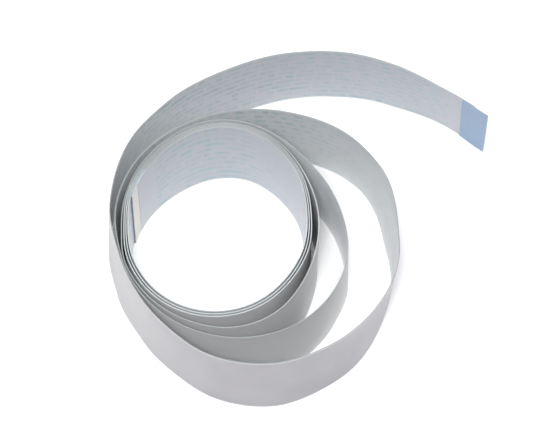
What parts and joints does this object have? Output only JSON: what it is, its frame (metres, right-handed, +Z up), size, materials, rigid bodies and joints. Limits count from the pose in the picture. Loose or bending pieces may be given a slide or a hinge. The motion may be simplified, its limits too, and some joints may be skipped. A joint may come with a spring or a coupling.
{
  "type": "ribbon cable",
  "caption": "Flat ribbon cable with a printed film over flat conductors, loosely wound on its long edge, with a stiffened plug-in strip at each end.",
  "frame": {"origin": "middle of the coil's bounding box on the surface that it stands on", "axes": "+Z up along the cable's width, +X along the coil's longer side towards the free end, +Y away from the picture's viewer"},
  "size_m": [0.119, 0.111, 0.031],
  "materials": {
    "printed_film": "satin white polyester film with short pale teal marks",
    "plain_film": "satin white polyester film",
    "conductor": "flat copper strip, tin plated",
    "stiffener": "light blue polyester tape"
  },
  "bodies": {
    "root": {"printed_film": "printed_film", "plain_film": "plain_film", "conductor_01": "conductor", "conductor_02": "conductor", "conductor_03": "conductor", "conductor_04": "conductor", "conductor_05": "conductor", "conductor_06": "conductor", "conductor_07": "conductor", "conductor_08": "conductor", "conductor_09": "conductor", "conductor_10": "conductor", "conductor_11": "conductor", "conductor_12": "conductor", "conductor_13": "conductor", "conductor_14": "conductor", "conductor_15": "conductor", "conductor_16": "conductor", "conductor_17": "conductor", "conductor_18": "conductor", "conductor_19": "conductor", "conductor_20": "conductor", "conductor_21": "conductor", "conductor_22": "conductor", "conductor_23": "conductor", "conductor_24": "conductor", "conductor_25": "conductor", "conductor_26": "conductor", "conductor_27": "conductor", "conductor_28": "conductor", "conductor_29": "conductor", "conductor_30": "conductor", "inner_end_stiffener": "stiffener", "outer_end_stiffener": "stiffener"}
  },
  "joints": []
}
